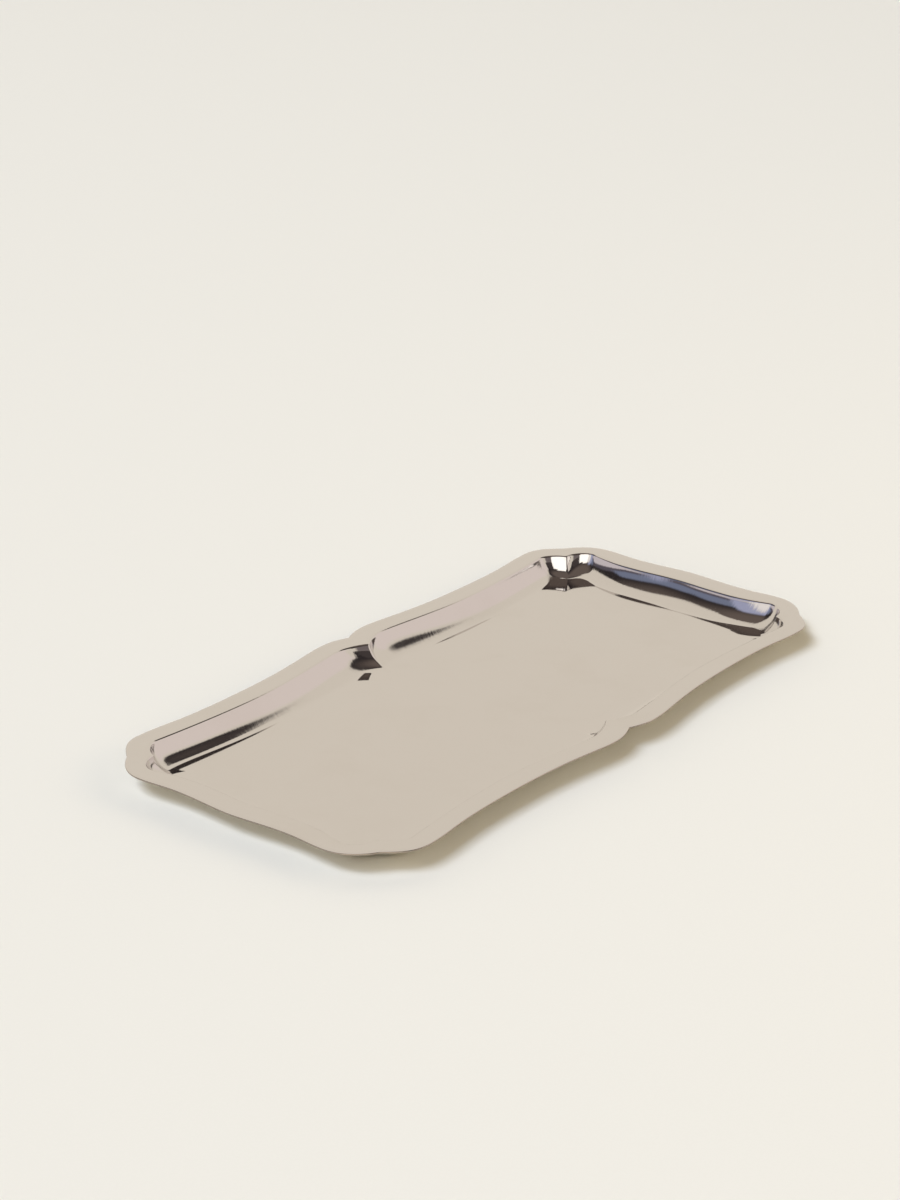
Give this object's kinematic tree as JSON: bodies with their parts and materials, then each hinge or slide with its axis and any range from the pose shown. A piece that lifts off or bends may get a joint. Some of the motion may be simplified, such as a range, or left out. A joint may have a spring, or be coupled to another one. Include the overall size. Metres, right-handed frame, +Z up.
{
  "type": "serving tray",
  "caption": "Shallow rectangular serving tray pressed from polished steel sheet, with a flat scalloped rim, cusped corners and long sides, and coved walls.",
  "frame": {"origin": "under the middle of the floor, on the surface that the tray stands on", "axes": "+X along the tray's length, +Y across its width, +Z up out of the well"},
  "size_m": [0.4, 0.1978, 0.0128],
  "materials": {
    "polished_steel": "mirror polished, with fine wear scratches"
  },
  "bodies": {
    "root": {"tray_pressing": "polished_steel"}
  },
  "joints": []
}
